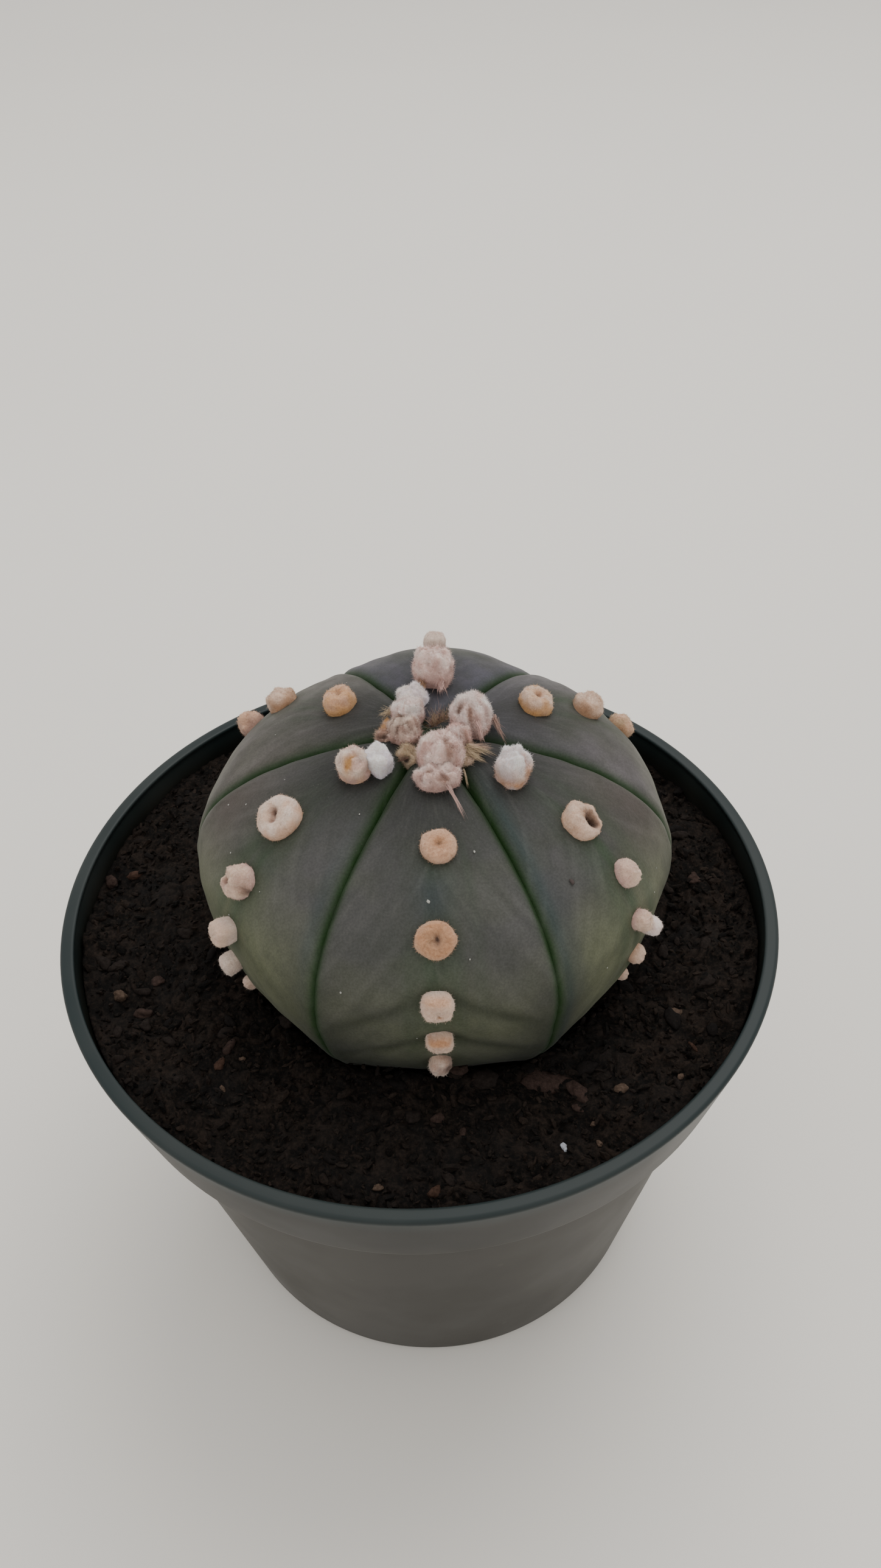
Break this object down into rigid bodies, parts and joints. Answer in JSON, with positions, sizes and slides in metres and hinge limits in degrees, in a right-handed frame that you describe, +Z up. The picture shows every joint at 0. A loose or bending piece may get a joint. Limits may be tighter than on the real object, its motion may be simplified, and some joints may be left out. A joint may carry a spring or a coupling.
{
  "type": "potted star cactus",
  "caption": "Low ribbed star cactus with woolly areoles, growing in potting soil in a round tapered plastic nursery pot.",
  "frame": {"origin": "middle of the flat ring that the pot stands on", "axes": "+Z up along the pot's axis; -Y towards the rib that faces the viewer; +X to the viewer's right"},
  "size_m": [0.12, 0.12, 0.1245],
  "materials": {
    "pot_plastic": "satin",
    "potting_soil": "matte",
    "cactus_skin": "matte",
    "areole_wool": "matte"
  },
  "bodies": {
    "root": {"pot": "pot_plastic", "soil": "potting_soil", "cactus_body": "cactus_skin", "crown_wool": "areole_wool"}
  },
  "joints": []
}
